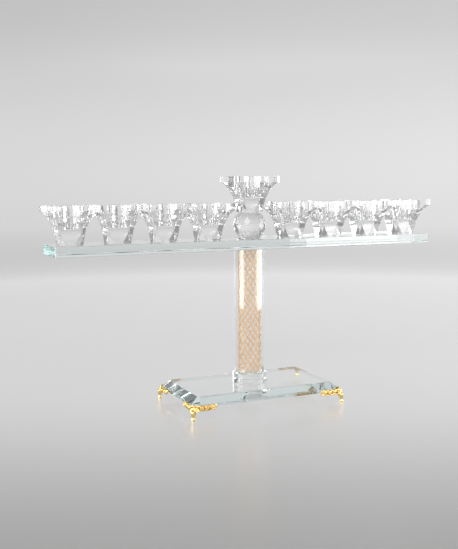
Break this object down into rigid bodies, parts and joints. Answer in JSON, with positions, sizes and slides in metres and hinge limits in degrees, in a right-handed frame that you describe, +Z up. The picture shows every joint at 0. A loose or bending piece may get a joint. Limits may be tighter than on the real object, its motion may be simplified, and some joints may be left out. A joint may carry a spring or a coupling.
{
  "type": "menorah",
  "caption": "Glass and crystal menorah: square flared cups along a glass bar, a raised helper cup on a faceted ball, a column with a gilt net core, and a bevelled base on gilt feet.",
  "frame": {"origin": "on the table under the middle of the column, at the level of the undersides of the feet", "axes": "+X along the crossbar, +Y to the back, +Z up"},
  "size_m": [0.413, 0.099, 0.23],
  "materials": {
    "plate_glass": "polished float glass with a faint blue-green edge",
    "column_glass": "clear polished",
    "cut_crystal": "clear, cut and polished",
    "crystal_chips": "crushed, sparkling",
    "gilt_thread": "rose gold metallic thread",
    "gilt_metal": "polished gilt casting"
  },
  "bodies": {
    "root": {"base_plate": "plate_glass", "column_foot_disc": "column_glass", "column_net": "gilt_thread", "column_tube": "column_glass", "crossbar": "plate_glass", "crystal_filling": "crystal_chips", "cup_1": "cut_crystal", "cup_2": "cut_crystal", "cup_3": "cut_crystal", "cup_4": "cut_crystal", "cup_5": "cut_crystal", "cup_6": "cut_crystal", "cup_7": "cut_crystal", "cup_8": "cut_crystal", "foot_back_left": "gilt_metal", "foot_back_right": "gilt_metal", "foot_front_left": "gilt_metal", "foot_front_right": "gilt_metal", "shamash_ball": "cut_crystal", "shamash_cup": "cut_crystal"}
  },
  "joints": []
}
